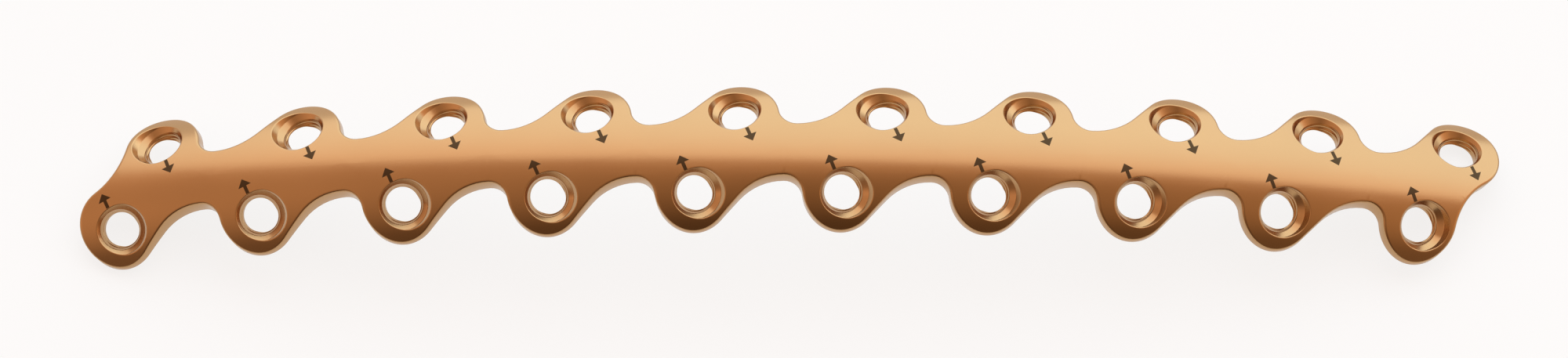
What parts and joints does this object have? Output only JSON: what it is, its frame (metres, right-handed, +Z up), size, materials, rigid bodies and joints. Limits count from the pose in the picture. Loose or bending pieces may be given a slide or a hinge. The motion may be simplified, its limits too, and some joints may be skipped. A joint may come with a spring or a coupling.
{
  "type": "orthopedic bone plate",
  "caption": "Slim arched metal bone plate with two staggered rows of rounded lobes, each with an angled, recessed screw hole.",
  "frame": {"origin": "middle of the base that the arched plate rests on, under the crest of its arch", "axes": "+X along the plate, +Y across it, +Z up through the crest; half a turn about Z brings the plate onto itself"},
  "size_m": [0.1734, 0.0186, 0.0185],
  "materials": {
    "anodised_titanium": "satin bronze anodising, smooth, with slightly broken edges"
  },
  "bodies": {
    "root": {"bone_plate": "anodised_titanium"}
  },
  "joints": []
}
